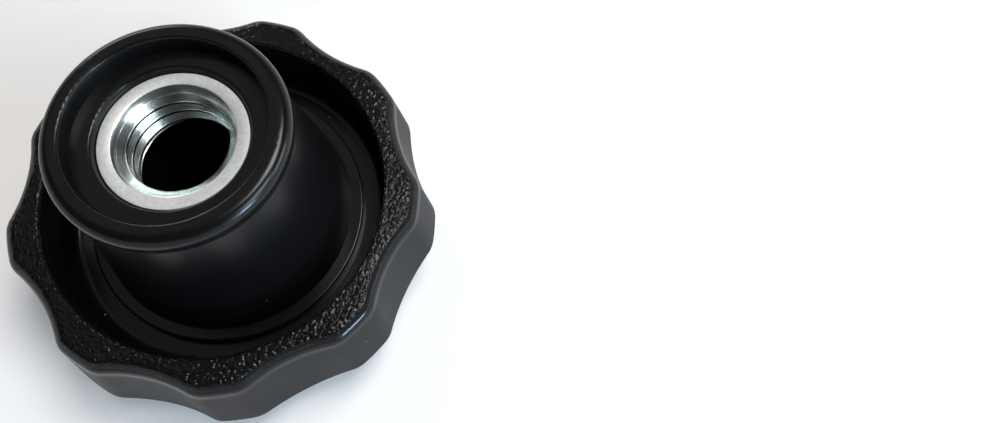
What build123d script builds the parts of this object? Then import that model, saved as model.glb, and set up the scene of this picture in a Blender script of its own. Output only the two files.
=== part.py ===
from build123d import *
import os
from math import atan, cos, degrees, radians, sin, sqrt, tan

# Nine-lobed hand knob, 50 mm across, with an M12 steel bush in its hub and a round cap in its crown.
# It stands crown down: the origin is the middle of the crown's flat ring and +Z runs up through the hub.
# All lengths are in millimetres.

# Grip and crown
lobe_count = 9
knob_radius = 25.0              # to the top of a lobe, at the crown's edge
rim_lobe_radius = 23.3          # the same at the rim, so the grip draws in towards the hub side
scallop_root_radius = 23.2      # to the bottom of a scallop, at the crown's edge
rim_root_radius = 21.8          # the same at the rim, so the scallops run out a little towards it
lobe_top_angle = 12.0           # degrees of the circle that a lobe's top takes, at the crown's edge
crown_sphere_radius = 37.6
crown_flat_radius = 14.25
grip_height = 10.2
lobe_corner_radius = 3.2
crown_edge_radius = 0.9
rim_edge_radius = 1.5

# Hollow between the rim and the hub
rim_inner_radius = 19.5
hollow_floor_radius = 19.2
hollow_depth = 7.8
hollow_foot_radius = 1.4
hollow_mouth_radius = 0.35

# Hub
hub_height = 15.7               # above the rim face
ledge_radius = 16.3             # the flat ledge round the foot of the hub
ledge_depth = 6.5               # below the rim face
ledge_edge_radius = 0.25
flare_foot_radius = 14.9
flare_middle_radius = 13.2      # half way up, a little inside the straight line
neck_radius = 11.7
flange_depth = 2.5              # from the hub's top down to the flange's underside
flange_radius = 12.2
flange_bead_radius = 1.2
flange_lower_radius = 0.4

# Stepped recess in the hub's top
recess_mouth_radius = 10.1
recess_foot_radius = 9.9
recess_depth = 2.1
recess_edge_radius = 0.3
step_radius = 7.95
step_edge_radius = 0.3

# Threaded bush
insert_radius = 7.7
insert_sink = 2.8               # its face lies this far below the hub's top
insert_length = 6.8
insert_edge_chamfer = 0.15
thread_minor_radius = 5.2       # M12 x 1.75, near the open end of its tolerance
mouth_chamfer = 1.08
tail_chamfer = 0.8
groove_radius = 6.95            # the retaining groove that the plastic fills
groove_width = 2.0

# Bore behind the bush, and the cap that closes it
core_radius = 6.3
cap_recess_radius = 12.95
cap_recess_depth = 2.0
cap_radius = 12.65
cap_sink = 0.15
cap_edge_radius = 0.3
plug_length = 4.0
plug_wall = 1.2
plug_lead = 0.4

# Heights above the crown's flat ring
dome_centre_z = sqrt(crown_sphere_radius**2 - crown_flat_radius**2)
crown_edge_z = dome_centre_z - sqrt(crown_sphere_radius**2 - knob_radius**2)
rim_z = crown_edge_z + grip_height
floor_z = rim_z - hollow_depth
ledge_z = rim_z - ledge_depth
hub_top_z = rim_z + hub_height
flange_z = hub_top_z - flange_depth
recess_z = hub_top_z - recess_depth
insert_face_z = hub_top_z - insert_sink
insert_tail_z = insert_face_z - insert_length
groove_top_z = insert_face_z - (insert_length - groove_width) / 2
groove_foot_z = groove_top_z - groove_width

# A scallop is the bite of a round cutter that leans inward on its way up
cutter_lean = atan((scallop_root_radius - rim_root_radius) / grip_height)
scallop_half_angle = radians((360 / lobe_count - lobe_top_angle) / 2)
half_chord = knob_radius * sin(scallop_half_angle)
bite = knob_radius * cos(scallop_half_angle) - scallop_root_radius
cutter_radius = (half_chord**2 + bite**2) / (2 * bite)
cutter_axis_radius = scallop_root_radius + cutter_radius / cos(cutter_lean) + crown_edge_z * tan(cutter_lean)
cutter_length = 4 * rim_z

os.makedirs("parts", exist_ok=True)


def ring(solid, radius, height):
    # The round edges of a given radius at a given height
    level = solid.edges().filter_by_position(Axis.Z, height - 0.01, height + 0.01)
    return level.filter_by(GeomType.CIRCLE).filter_by(lambda edge: abs(edge.radius - radius) < 0.01)


with BuildPart() as knob_body:
    # Domed crown and drawn-in grip, turned about the knob's axis
    dome_middle_radius = (crown_flat_radius + knob_radius) / 2
    dome_middle_z = dome_centre_z - sqrt(crown_sphere_radius**2 - dome_middle_radius**2)
    with BuildSketch(Plane.XZ):
        with BuildLine():
            Line((0, 0), (crown_flat_radius, 0))
            ThreePointArc(
                (crown_flat_radius, 0),
                (dome_middle_radius, dome_middle_z),
                (knob_radius, crown_edge_z),
            )
            Polyline((knob_radius, crown_edge_z), (rim_lobe_radius, rim_z), (0, rim_z), (0, 0))
        make_face()
    revolve(axis=Axis.Z)

    # Nine scallops leave nine lobes
    with PolarLocations(cutter_axis_radius, lobe_count, start_angle=180 / lobe_count):
        Cylinder(cutter_radius, cutter_length, rotation=(0, -degrees(cutter_lean), 0), mode=Mode.SUBTRACT)

    # The lobes' corners are rounded first, then the crown's edge and the rim's outer edge in one loop each
    lobe_corners = knob_body.edges().filter_by(lambda edge: edge.bounding_box().size.Z > grip_height - 0.1)
    fillet(lobe_corners, lobe_corner_radius)
    fillet(knob_body.faces().sort_by(Axis.Z)[-1].outer_wire().edges(), rim_edge_radius)
    dome = knob_body.faces().filter_by(GeomType.SPHERE)[0]
    fillet(dome.outer_wire().edges(), crown_edge_radius)

    # Hollow between the rim and the hub, with a rounded foot against the rim
    with BuildSketch(Plane.XZ):
        with BuildLine():
            Polyline(
                (0, rim_z + 1),
                (0, ledge_z),
                (ledge_radius, ledge_z),
                (ledge_radius, floor_z),
                (hollow_floor_radius, floor_z),
                (rim_inner_radius, rim_z),
                (rim_inner_radius, rim_z + 1),
                (0, rim_z + 1),
            )
        make_face()
    revolve(axis=Axis.Z, mode=Mode.SUBTRACT)
    fillet(ring(knob_body, hollow_floor_radius, floor_z), hollow_foot_radius)
    fillet(ring(knob_body, rim_inner_radius, rim_z), hollow_mouth_radius)
    fillet(ring(knob_body, ledge_radius, ledge_z), ledge_edge_radius)

    # Flared hub with a rounded flange round its top
    with BuildSketch(Plane.XZ):
        with BuildLine():
            Line((0, ledge_z), (flare_foot_radius, ledge_z))
            ThreePointArc(
                (flare_foot_radius, ledge_z),
                (flare_middle_radius, (ledge_z + flange_z) / 2),
                (neck_radius, flange_z),
            )
            Polyline(
                (neck_radius, flange_z),
                (flange_radius, flange_z),
                (flange_radius, hub_top_z),
                (0, hub_top_z),
                (0, ledge_z),
            )
        make_face()
    revolve(axis=Axis.Z)
    fillet(ring(knob_body, flange_radius, hub_top_z), flange_bead_radius)
    fillet(ring(knob_body, flange_radius, flange_z), flange_lower_radius)

    # Stepped recess, the bush's seat with the rib that fills its groove, and the bore behind it
    with BuildSketch(Plane.XZ):
        with BuildLine():
            Polyline(
                (0, hub_top_z),
                (recess_mouth_radius, hub_top_z),
                (recess_foot_radius, recess_z),
                (step_radius, recess_z),
                (insert_radius, insert_face_z),
                (insert_radius, groove_top_z),
                (groove_radius, groove_top_z),
                (groove_radius, groove_foot_z),
                (insert_radius, groove_foot_z),
                (insert_radius, insert_tail_z),
                (core_radius, insert_tail_z),
                (core_radius, cap_recess_depth),
                (cap_recess_radius, cap_recess_depth),
                (cap_recess_radius, 0),
                (0, 0),
                (0, hub_top_z),
            )
        make_face()
    revolve(axis=Axis.Z, mode=Mode.SUBTRACT)
    fillet(ring(knob_body, recess_mouth_radius, hub_top_z), recess_edge_radius)
    fillet(ring(knob_body, step_radius, recess_z), step_edge_radius)

knob_body.part.label = "knob_body"


with BuildPart() as threaded_insert:
    # Steel bush, bored to the thread's minor diameter, with a retaining groove round its middle
    insert_middle_z = (insert_face_z + insert_tail_z) / 2
    with Locations((0, 0, insert_middle_z)):
        Cylinder(insert_radius, insert_length)
        Cylinder(thread_minor_radius, insert_length, mode=Mode.SUBTRACT)
    with BuildSketch(Plane.XZ):
        with Locations(((groove_radius + insert_radius + 1) / 2, insert_middle_z)):
            Rectangle(insert_radius + 1 - groove_radius, groove_width)
    revolve(axis=Axis.Z, mode=Mode.SUBTRACT)
    chamfer(ring(threaded_insert, thread_minor_radius, insert_face_z), mouth_chamfer)
    chamfer(ring(threaded_insert, thread_minor_radius, insert_tail_z), tail_chamfer)
    chamfer(ring(threaded_insert, insert_radius, insert_face_z), insert_edge_chamfer)

threaded_insert.part.label = "threaded_insert"


with BuildPart() as crown_cap:
    # Flat disc with a hollow plug that presses into the bore
    with BuildSketch(Plane.XY.offset(cap_sink)):
        Circle(cap_radius)
    extrude(amount=cap_recess_depth - cap_sink)
    fillet(ring(crown_cap, cap_radius, cap_sink), cap_edge_radius)
    with BuildSketch(Plane.XY.offset(cap_recess_depth)):
        Circle(core_radius)
        Circle(core_radius - plug_wall, mode=Mode.SUBTRACT)
    extrude(amount=plug_length)
    chamfer(ring(crown_cap, core_radius, cap_recess_depth + plug_length), plug_lead)

crown_cap.part.label = "crown_cap"


export_step(knob_body.part, "parts/knob_body.step")
export_step(threaded_insert.part, "parts/threaded_insert.step")
export_step(crown_cap.part, "parts/crown_cap.step")
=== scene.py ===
from math import cos, pi, radians, sin, tan

import bpy
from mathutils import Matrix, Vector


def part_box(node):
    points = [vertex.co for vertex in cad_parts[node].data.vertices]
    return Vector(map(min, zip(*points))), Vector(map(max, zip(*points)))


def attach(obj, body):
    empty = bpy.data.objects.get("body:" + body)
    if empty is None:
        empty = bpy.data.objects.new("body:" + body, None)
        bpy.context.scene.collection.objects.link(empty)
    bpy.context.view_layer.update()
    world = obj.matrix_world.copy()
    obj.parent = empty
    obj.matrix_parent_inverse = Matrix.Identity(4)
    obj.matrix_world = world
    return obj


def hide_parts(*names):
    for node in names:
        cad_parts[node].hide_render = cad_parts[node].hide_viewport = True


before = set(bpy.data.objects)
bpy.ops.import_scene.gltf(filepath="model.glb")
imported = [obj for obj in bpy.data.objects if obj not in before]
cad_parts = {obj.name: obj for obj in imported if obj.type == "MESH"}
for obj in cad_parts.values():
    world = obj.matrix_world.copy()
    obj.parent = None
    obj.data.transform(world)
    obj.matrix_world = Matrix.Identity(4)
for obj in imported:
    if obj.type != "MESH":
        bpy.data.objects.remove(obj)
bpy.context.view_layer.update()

MM = 0.001

# Heights and radii of the knob, in metres, for the pieces and for the finishes that change from face to face
HUB_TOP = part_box("knob_body")[1][2]
RIM_FACE = HUB_TOP - 15.7 * MM
RIM_INNER_RADIUS = 19.4 * MM
GRIP_INNER_RADIUS = 20.5 * MM
CROWN_CENTRE = 34.795 * MM
CROWN_RADIUS = 37.6 * MM
CROWN_EDGE = 7 * MM

# The leather grain is drawn out along the rim. It is deepest on the side that this direction points to, and
# worn down on the other, by how far along the direction a point lies
GRAIN_CIRCLE = 8 * MM
GRAIN_SIDE = (cos(radians(130)), sin(radians(130)), 0)
WORN_AT = -6 * MM
FRESH_AT = 16 * MM

# The bush and its M12 x 1.75 thread
BUSH_FOOT, BUSH_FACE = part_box("threaded_insert")[0][2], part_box("threaded_insert")[1][2]
BUSH_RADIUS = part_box("threaded_insert")[1][0]
BUSH_EDGE = 0.15 * MM
GROOVE_RADIUS = 6.95 * MM
GROOVE_WIDTH = 2 * MM
MOUTH_CHAMFER = 1.08 * MM
TAIL_CHAMFER = 0.8 * MM
THREAD_PITCH = 1.75 * MM
THREAD_MINOR = 5.2 * MM
THREAD_MAJOR = 6.0 * MM
THREAD_FLANK = (THREAD_MAJOR - THREAD_MINOR) * tan(radians(30))
THREAD_TURNS = 7
TAP_FOOT = BUSH_FOOT - 2.55 * MM

# The studio round the knob
FLOOR_RADIUS = 3
WALL_RADIUS = 1.5
WALL_HEIGHT = 0.5
LAMPLIT_RADIUS = 0.15
FAR_RADIUS = 0.8
LAMPS_LOOK_AT = 0.015


# ---------------------------------------------------------------- materials

def new_material(name):
    material = bpy.data.materials.new(name)
    material.use_nodes = True
    material.node_tree.nodes.clear()
    return material


def node(material, kind, **values):
    """Adds a node. Its properties are set by name, and its inputs by number, as in i0=0.5."""
    made = material.node_tree.nodes.new("ShaderNode" + kind)
    for key, value in values.items():
        if key[0] == "i" and key[1:].isdigit():
            made.inputs[int(key[1:])].default_value = value
        else:
            setattr(made, key, value)
    return made


def link(material, start, end):
    material.node_tree.links.new(start, end)


def math_node(material, operation, first, second=0.0):
    """Adds a Math node. Each of its two inputs is a number or another node's output."""
    made = node(material, "Math", operation=operation)
    for number, value in enumerate((first, second)):
        if isinstance(value, (int, float)):
            made.inputs[number].default_value = value
        else:
            link(material, value, made.inputs[number])
    return made.outputs[0]


def between(material, value, low, high):
    """0 where the value is at low, 1 at high, with a smooth change between."""
    made = node(material, "MapRange", interpolation_type="SMOOTHSTEP", i1=low, i2=high)
    link(material, value, made.inputs[0])
    return made.outputs[0]


def place(material):
    """The point on the piece, its distance from the knob's axis and its height."""
    point = node(material, "TexCoord").outputs["Object"]
    parts = node(material, "SeparateXYZ")
    link(material, point, parts.inputs[0])
    squares = math_node(material, "ADD",
                        math_node(material, "MULTIPLY", parts.outputs[0], parts.outputs[0]),
                        math_node(material, "MULTIPLY", parts.outputs[1], parts.outputs[1]))
    return point, math_node(material, "SQRT", squares), parts.outputs[2]


def noise(material, point, scale, detail, roughness=0.5):
    made = node(material, "TexNoise")
    made.inputs["Scale"].default_value = scale
    made.inputs["Detail"].default_value = detail
    made.inputs["Roughness"].default_value = roughness
    link(material, point, made.inputs["Vector"])
    return made.outputs["Fac"]


def mixed_colour(material, amount, first, second):
    """The first colour where the amount is 0, the second where it is 1."""
    made = node(material, "Mix", data_type="RGBA")
    made.inputs[6].default_value = first
    made.inputs[7].default_value = second
    link(material, amount, made.inputs[0])
    return made.outputs[2]


def bump(material, height, distance, strength=1.0, below=None):
    """A normal that follows the height, laid over the normal below it where one is given."""
    made = node(material, "Bump")
    made.inputs["Distance"].default_value = distance
    made.inputs["Strength"].default_value = strength
    link(material, height, made.inputs["Height"])
    if below:
        link(material, below, made.inputs["Normal"])
    return made.outputs["Normal"]


def moulded_black():
    """Black moulded plastic: leather grain on the crown and the rim's face, satin elsewhere, and dust."""
    m = new_material("moulded_black")
    point, radius, height = place(m)

    from_crown = node(m, "VectorMath", operation="DISTANCE")
    from_crown.inputs[1].default_value = (0, 0, CROWN_CENTRE)
    link(m, point, from_crown.inputs[0])
    from_centre = from_crown.outputs["Value"]
    on_crown = math_node(m, "MULTIPLY",
                         between(m, from_centre, CROWN_RADIUS - 0.5 * MM, CROWN_RADIUS - 0.1 * MM),
                         between(m, height, CROWN_EDGE + 2 * MM, CROWN_EDGE))
    on_rim = math_node(m, "MULTIPLY",
                       between(m, height, RIM_FACE - 0.5 * MM, RIM_FACE - 0.1 * MM),
                       between(m, radius, RIM_INNER_RADIUS - 0.4 * MM, RIM_INNER_RADIUS))
    on_grip = math_node(m, "MULTIPLY",
                        between(m, radius, GRIP_INNER_RADIUS, GRIP_INNER_RADIUS + 1 * MM),
                        between(m, height, RIM_FACE - 1 * MM, RIM_FACE - 2.5 * MM))
    grained = math_node(m, "MAXIMUM", on_crown, on_rim)

    # On the rim the grain runs round the knob: the point is drawn in to a small circle and its radius added
    drawn_in = node(m, "VectorMath", operation="SCALE")
    link(m, point, drawn_in.inputs[0])
    off_axis = math_node(m, "MAXIMUM", radius, 1 * MM)
    link(m, math_node(m, "DIVIDE", GRAIN_CIRCLE, off_axis), drawn_in.inputs["Scale"])
    outward = node(m, "CombineXYZ")
    link(m, radius, outward.inputs[2])
    round_rim = node(m, "VectorMath", operation="ADD")
    link(m, drawn_in.outputs[0], round_rim.inputs[0])
    link(m, outward.outputs[0], round_rim.inputs[1])
    laid = node(m, "Mix", data_type="VECTOR")
    link(m, on_rim, laid.inputs[0])
    link(m, point, laid.inputs[4])
    link(m, round_rim.outputs[0], laid.inputs[5])
    laid_point = laid.outputs[1]

    # Leather grain: small irregular pads with narrow creases between them, broken by a finer noise
    warp = node(m, "TexNoise")
    warp.inputs["Scale"].default_value = 1500
    link(m, laid_point, warp.inputs["Vector"])
    shifted = node(m, "VectorMath", operation="MULTIPLY_ADD")
    shifted.inputs[1].default_value = (0.0003, 0.0003, 0.0003)
    link(m, warp.outputs["Color"], shifted.inputs[0])
    link(m, laid_point, shifted.inputs[2])
    cells = node(m, "TexVoronoi", feature="DISTANCE_TO_EDGE")
    cells.inputs["Scale"].default_value = 2900
    link(m, shifted.outputs[0], cells.inputs["Vector"])
    pads = between(m, cells.outputs["Distance"], 0.0, 0.3)
    leather = math_node(m, "ADD",
                        math_node(m, "MULTIPLY", pads, 0.5),
                        math_node(m, "MULTIPLY", noise(m, laid_point, 4200, 3), 0.9))

    # Wear leaves all of the grain on its deepest side, and about half of it on the other
    across = node(m, "VectorMath", operation="DOT_PRODUCT")
    across.inputs[1].default_value = GRAIN_SIDE
    link(m, point, across.inputs[0])
    left_by_wear = node(m, "MapRange", interpolation_type="SMOOTHSTEP",
                        i1=WORN_AT, i2=FRESH_AT, i3=0.55, i4=1.0)
    link(m, across.outputs["Value"], left_by_wear.inputs[0])
    depth = math_node(m, "MULTIPLY", math_node(m, "MULTIPLY", leather, grained), left_by_wear.outputs[0])

    fine = bump(m, noise(m, point, 2200, 4, 0.6), 0.012 * MM, 0.5)
    grain = bump(m, depth, 0.12 * MM, 1.0, fine)

    shader = node(m, "BsdfPrincipled")
    shader.inputs["IOR"].default_value = 1.5
    shader.inputs["Specular IOR Level"].default_value = 0.25
    roughness = math_node(m, "ADD", 0.17, math_node(m, "MULTIPLY", noise(m, point, 160, 3), 0.12))
    roughness = math_node(m, "SUBTRACT", roughness, math_node(m, "MULTIPLY", grained, 0.03))
    roughness = math_node(m, "ADD", roughness, math_node(m, "MULTIPLY", on_grip, 0.3))
    link(m, roughness, shader.inputs["Roughness"])

    # Dust: a few pale specks, each in the middle of a cell picked by its own chance
    dust_cells = node(m, "TexVoronoi")
    dust_cells.inputs["Scale"].default_value = 420
    link(m, point, dust_cells.inputs["Vector"])
    chance = node(m, "SeparateXYZ")
    link(m, dust_cells.outputs["Color"], chance.inputs[0])
    dust = math_node(m, "MULTIPLY",
                     between(m, dust_cells.outputs["Distance"], 0.045, 0.02),
                     between(m, chance.outputs[0], 0.66, 0.7))
    tone = mixed_colour(m, noise(m, point, 90, 2),
                        (0.0028, 0.0028, 0.003, 1), (0.0045, 0.0045, 0.0048, 1))
    colour = node(m, "Mix", data_type="RGBA")
    link(m, math_node(m, "MULTIPLY", dust, 0.8), colour.inputs[0])
    link(m, tone, colour.inputs[6])
    colour.inputs[7].default_value = (0.5, 0.5, 0.48, 1)
    link(m, colour.outputs[2], shader.inputs["Base Color"])
    link(m, grain, shader.inputs["Normal"])
    link(m, shader.outputs[0], node(m, "OutputMaterial").inputs[0])
    return m


def cap_black():
    """The cap's satin black plastic, with faint flow marks."""
    m = new_material("cap_black")
    point, _, _ = place(m)
    shader = node(m, "BsdfPrincipled")
    shader.inputs["IOR"].default_value = 1.5
    shader.inputs["Specular IOR Level"].default_value = 0.25
    tone = mixed_colour(m, noise(m, point, 70, 3),
                        (0.0032, 0.0032, 0.0034, 1), (0.0052, 0.0052, 0.0055, 1))
    link(m, tone, shader.inputs["Base Color"])
    roughness = math_node(m, "ADD", 0.3, math_node(m, "MULTIPLY", noise(m, point, 240, 3), 0.14))
    link(m, roughness, shader.inputs["Roughness"])
    link(m, bump(m, noise(m, point, 1800, 4, 0.6), 0.012 * MM, 0.6), shader.inputs["Normal"])
    link(m, shader.outputs[0], node(m, "OutputMaterial").inputs[0])
    return m


def bright_zinc():
    """Bright zinc on turned steel: a satin face, and glossier chamfers and thread with a cool cast."""
    m = new_material("bright_zinc")
    point, radius, height = place(m)
    shader = node(m, "BsdfPrincipled")
    shader.inputs["Metallic"].default_value = 1.0

    on_face = between(m, height, BUSH_FACE - 0.06 * MM, BUSH_FACE - 0.01 * MM)
    face_tone = mixed_colour(m, noise(m, point, 3000, 3),
                             (0.62, 0.66, 0.65, 1), (0.99, 1.0, 0.99, 1))
    bore_tone = mixed_colour(m, between(m, noise(m, point, 240, 2), 0.4, 0.58),
                             (0.5, 0.55, 0.54, 1), (0.86, 0.94, 0.92, 1))
    colour = node(m, "Mix", data_type="RGBA")
    link(m, on_face, colour.inputs[0])
    link(m, bore_tone, colour.inputs[6])
    link(m, face_tone, colour.inputs[7])
    link(m, colour.outputs[2], shader.inputs["Base Color"])

    bore_roughness = math_node(m, "ADD", 0.17, math_node(m, "MULTIPLY", noise(m, point, 300, 2), 0.1))
    face_adds = math_node(m, "ADD", 0.18, math_node(m, "MULTIPLY", noise(m, point, 2400, 3), 0.14))
    roughness = math_node(m, "ADD", math_node(m, "MULTIPLY", face_adds, on_face), bore_roughness)
    link(m, roughness, shader.inputs["Roughness"])

    # Fine pits on the face, and the rings that the turning tool left
    rings = math_node(m, "SINE", math_node(m, "MULTIPLY", radius, 2 * pi / (0.12 * MM)))
    pitted = math_node(m, "MULTIPLY", noise(m, point, 5200, 3, 0.6), on_face)
    pits = bump(m, pitted, 0.02 * MM, 0.7)
    link(m, bump(m, rings, 0.001 * MM, 0.5, pits), shader.inputs["Normal"])
    link(m, shader.outputs[0], node(m, "OutputMaterial").inputs[0])
    return m


def white_surface(name, near_glow, far_glow, colour):
    """A pale surface that takes the knob's shadow, and stays pale far off, where the lamps don't reach."""
    m = new_material(name)
    _, radius, _ = place(m)
    glow = node(m, "MapRange", interpolation_type="SMOOTHSTEP",
                i1=LAMPLIT_RADIUS, i2=FAR_RADIUS, i3=near_glow, i4=far_glow)
    link(m, radius, glow.inputs[0])
    paint = node(m, "BsdfDiffuse", i0=colour)
    light = node(m, "Emission", i0=(1, 1, 1, 1))
    path = node(m, "LightPath")
    mirrored = math_node(m, "MAXIMUM", path.outputs["Is Glossy Ray"], path.outputs["Is Transmission Ray"])
    seen = math_node(m, "MAXIMUM", path.outputs["Is Camera Ray"], mirrored)
    link(m, math_node(m, "MULTIPLY", seen, glow.outputs[0]), light.inputs["Strength"])
    both = node(m, "AddShader")
    link(m, paint.outputs[0], both.inputs[0])
    link(m, light.outputs[0], both.inputs[1])
    link(m, both.outputs[0], node(m, "OutputMaterial").inputs[0])
    return m


# ---------------------------------------------------------------- modelling helpers

def dressed(mesh, material):
    """Gives the mesh this material and no other."""
    mesh.materials.clear()
    mesh.materials.append(material)


def only(piece):
    """Selects this piece alone and makes it the active one."""
    bpy.ops.object.select_all(action="DESELECT")
    piece.select_set(True)
    bpy.context.view_layer.objects.active = piece


def drawn_line(name, points):
    """A new mesh with one line through the points, which are radius and height pairs in the plane y = 0."""
    bpy.ops.object.select_all(action="DESELECT")
    bpy.ops.mesh.primitive_plane_add(size=MM, location=(0, 0, 0))
    line = bpy.context.object
    line.name = line.data.name = name
    bpy.ops.object.mode_set(mode="EDIT")
    bpy.ops.mesh.select_all(action="SELECT")
    bpy.ops.mesh.merge(type="CENTER")
    bpy.ops.transform.translate(value=(points[0][0], 0, points[0][1]))
    for here, there in zip(points, points[1:]):
        step = (there[0] - here[0], 0, there[1] - here[1])
        bpy.ops.mesh.extrude_region_move(TRANSFORM_OT_translate={"value": step})
    bpy.ops.object.mode_set(mode="OBJECT")
    return line


def turned(name, points, steps):
    """The line through the points, spun about the knob's axis into a closed solid."""
    solid = drawn_line(name, points)
    bpy.ops.object.mode_set(mode="EDIT")
    bpy.ops.mesh.select_all(action="SELECT")
    bpy.ops.mesh.spin(steps=steps, angle=2 * pi, center=(0, 0, 0), axis=(0, 0, 1))
    bpy.ops.mesh.select_all(action="SELECT")
    bpy.ops.mesh.remove_doubles(threshold=0.001 * MM)
    bpy.ops.mesh.normals_make_consistent(inside=False)
    bpy.ops.object.mode_set(mode="OBJECT")
    return solid


# ---------------------------------------------------------------- threaded bush

def thread_tap():
    """A closed right-hand screw, longer than the bush, whose teeth have the shape of the metal cut away."""
    core = THREAD_MINOR - 0.15 * MM
    half_root = THREAD_PITCH * 3 / 8
    flat = half_root - THREAD_FLANK
    edge = 0.09 * MM
    tooth = [
        (core, -THREAD_PITCH / 2),
        (core, -half_root - edge),
        (THREAD_MINOR + 0.01 * MM, -half_root - edge * 0.6),
        (THREAD_MINOR + 0.1 * MM, -half_root + 0.06 * MM),
        (THREAD_MAJOR - 0.05 * MM, -flat - 0.03 * MM),
        (THREAD_MAJOR, -flat + 0.04 * MM),
        (THREAD_MAJOR, flat - 0.04 * MM),
        (THREAD_MAJOR - 0.05 * MM, flat + 0.03 * MM),
        (THREAD_MINOR + 0.1 * MM, half_root - 0.06 * MM),
        (THREAD_MINOR + 0.01 * MM, half_root + edge * 0.6),
        (core, half_root + edge),
        (core, THREAD_PITCH / 2),
    ]
    tap = drawn_line("thread_tap", [(r, z + TAP_FOOT) for r, z in tooth])
    screw = tap.modifiers.new("thread", "SCREW")
    screw.axis = "Z"
    screw.angle = 2 * pi
    screw.screw_offset = THREAD_PITCH
    screw.iterations = THREAD_TURNS
    screw.steps = screw.render_steps = 120
    screw.use_merge_vertices = True
    screw.merge_threshold = 0.001 * MM
    only(tap)
    bpy.ops.object.modifier_apply(modifier="thread")
    bpy.ops.object.mode_set(mode="EDIT")
    bpy.ops.mesh.select_all(action="SELECT")
    bpy.ops.mesh.remove_doubles(threshold=0.002 * MM)

    # Each open end is drawn together to one point
    middle = TAP_FOOT + THREAD_PITCH * 3
    for end in ("foot", "top"):
        bpy.ops.mesh.select_all(action="DESELECT")
        bpy.ops.mesh.select_mode(type="EDGE")
        bpy.ops.mesh.select_non_manifold(extend=False)
        bpy.ops.object.mode_set(mode="OBJECT")
        for edge_line in tap.data.edges:
            low = tap.data.vertices[edge_line.vertices[0]].co.z < middle
            if edge_line.select and low != (end == "foot"):
                edge_line.select = False
        bpy.ops.object.mode_set(mode="EDIT")
        bpy.ops.mesh.extrude_region_move(TRANSFORM_OT_translate={"value": (0, 0, 0)})
        bpy.ops.mesh.merge(type="CENTER")
    bpy.ops.mesh.select_all(action="SELECT")
    bpy.ops.mesh.normals_make_consistent(inside=False)
    bpy.ops.mesh.select_mode(type="VERT")
    bpy.ops.object.mode_set(mode="OBJECT")
    return tap


def threaded_bush():
    """The steel bush, turned to its outline and tapped."""
    groove_foot = (BUSH_FOOT + BUSH_FACE - GROOVE_WIDTH) / 2
    mouth_radius = THREAD_MINOR + MOUTH_CHAMFER
    outline = [
        (THREAD_MINOR, BUSH_FOOT + TAIL_CHAMFER),
        (THREAD_MINOR + TAIL_CHAMFER, BUSH_FOOT),
        (BUSH_RADIUS, BUSH_FOOT),
        (BUSH_RADIUS, groove_foot),
        (GROOVE_RADIUS, groove_foot),
        (GROOVE_RADIUS, groove_foot + GROOVE_WIDTH),
        (BUSH_RADIUS, groove_foot + GROOVE_WIDTH),
        (BUSH_RADIUS, BUSH_FACE - BUSH_EDGE),
        (BUSH_RADIUS - BUSH_EDGE, BUSH_FACE),
        (mouth_radius + 0.04 * MM, BUSH_FACE),
        (mouth_radius - 0.02 * MM, BUSH_FACE - 0.02 * MM),
        (THREAD_MINOR, BUSH_FACE - MOUTH_CHAMFER),
        (THREAD_MINOR, BUSH_FOOT + TAIL_CHAMFER),
    ]
    bush = turned("zinc_bush", outline, 144)
    tap = thread_tap()
    cut = bush.modifiers.new("tapping", "BOOLEAN")
    cut.operation = "DIFFERENCE"
    cut.solver = "EXACT"
    cut.object = tap
    only(bush)
    bpy.ops.object.modifier_apply(modifier="tapping")
    bpy.data.objects.remove(tap)
    only(bush)
    bpy.ops.object.shade_smooth_by_angle(angle=radians(28))
    return bush


# ---------------------------------------------------------------- the knob

dressed(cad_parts["knob_body"].data, moulded_black())
dressed(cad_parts["crown_cap"].data, cap_black())

bush = threaded_bush()
dressed(bush.data, bright_zinc())
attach(bush, "root")
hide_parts("threaded_insert")


# ---------------------------------------------------------------- studio

bpy.ops.object.select_all(action="DESELECT")
bpy.ops.mesh.primitive_circle_add(vertices=96, radius=FLOOR_RADIUS, fill_type="NGON", location=(0, 0, 0))
floor = bpy.context.object
floor.name = "studio_floor"
floor.data.materials.append(white_surface("floor_white", 0.1, 0.6, (0.76, 0.76, 0.76, 1)))

bpy.ops.object.select_all(action="DESELECT")
bpy.ops.mesh.primitive_cylinder_add(vertices=96, radius=WALL_RADIUS, depth=WALL_HEIGHT,
                                    end_fill_type="NOTHING", location=(0, 0, WALL_HEIGHT / 2))
wall = bpy.context.object
wall.name = "studio_wall"
wall.data.materials.append(white_surface("wall_white", 0.6, 0.6, (0.88, 0.88, 0.88, 1)))


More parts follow.
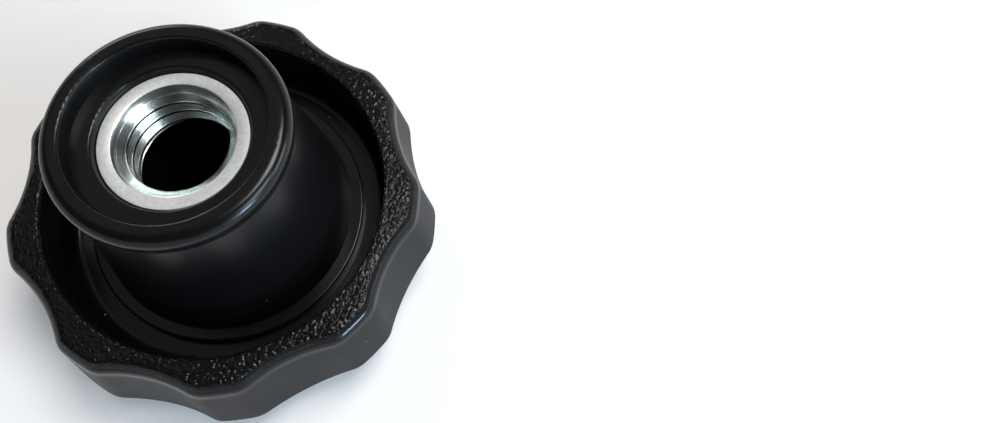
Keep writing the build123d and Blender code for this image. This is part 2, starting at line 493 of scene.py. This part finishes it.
def softbox(name, azimuth, elevation, distance, width, height, watts, colour):
    """An oblong lamp that faces the knob from a direction given in degrees."""
    a, e = radians(azimuth), radians(elevation)
    data = bpy.data.lights.new(name, "AREA")
    data.shape = "RECTANGLE"
    data.size = width
    data.size_y = height
    data.energy = watts
    data.color = colour
    lamp = bpy.data.objects.new(name, data)
    bpy.context.collection.objects.link(lamp)
    reach = distance * cos(e)
    lamp.location = (reach * cos(a), reach * sin(a), distance * sin(e) + LAMPS_LOOK_AT)
    lamp.rotation_euler = (radians(90) - e, 0, a + radians(90))


# Each lamp: name, azimuth, elevation, distance, width and height in metres, watts and colour
softbox("overhead", 193, 66, 0.5, 0.22, 0.18, 1.9, (1.0, 0.96, 0.94))
softbox("window", 137, 31, 0.5, 0.24, 0.16, 1.25, (0.82, 0.93, 1.0))
softbox("small_high", 150, 74, 0.5, 0.06, 0.06, 0.2, (1.0, 0.95, 0.88))
softbox("side_strip", 166, 15, 0.5, 0.2, 0.1, 0.7, (0.75, 0.92, 1.0))
softbox("low_window", 123, 8, 0.5, 0.1, 0.06, 1.7, (0.45, 0.68, 1.0))
softbox("back_strip", 286, 19, 0.5, 0.2, 0.12, 0.4, (1.0, 0.97, 0.9))
softbox("far_window", 56, 20, 0.5, 0.3, 0.15, 0.07, (0.95, 1.0, 1.0))
softbox("ceiling", 290, 58, 0.6, 0.4, 0.4, 0.17, (0.97, 1.0, 1.0))

world = bpy.data.worlds.new("studio_air")
bpy.context.scene.world = world
world.use_nodes = True
air = world.node_tree.nodes["Background"]
air.inputs["Color"].default_value = (1, 1, 1, 1)
air.inputs["Strength"].default_value = 0.04

camera_data = bpy.data.cameras.new("camera")
camera_data.sensor_width = 36
camera_data.lens = 29.409
camera = bpy.data.objects.new("camera", camera_data)
bpy.context.collection.objects.link(camera)
camera.location = (-0.018896, 0.043341, 0.104284)
camera.rotation_euler = (radians(20.806), radians(-1.293), radians(162.674))
camera_data.clip_start = 0.005
bpy.context.scene.camera = camera
bpy.context.scene.view_settings.view_transform = "Standard"
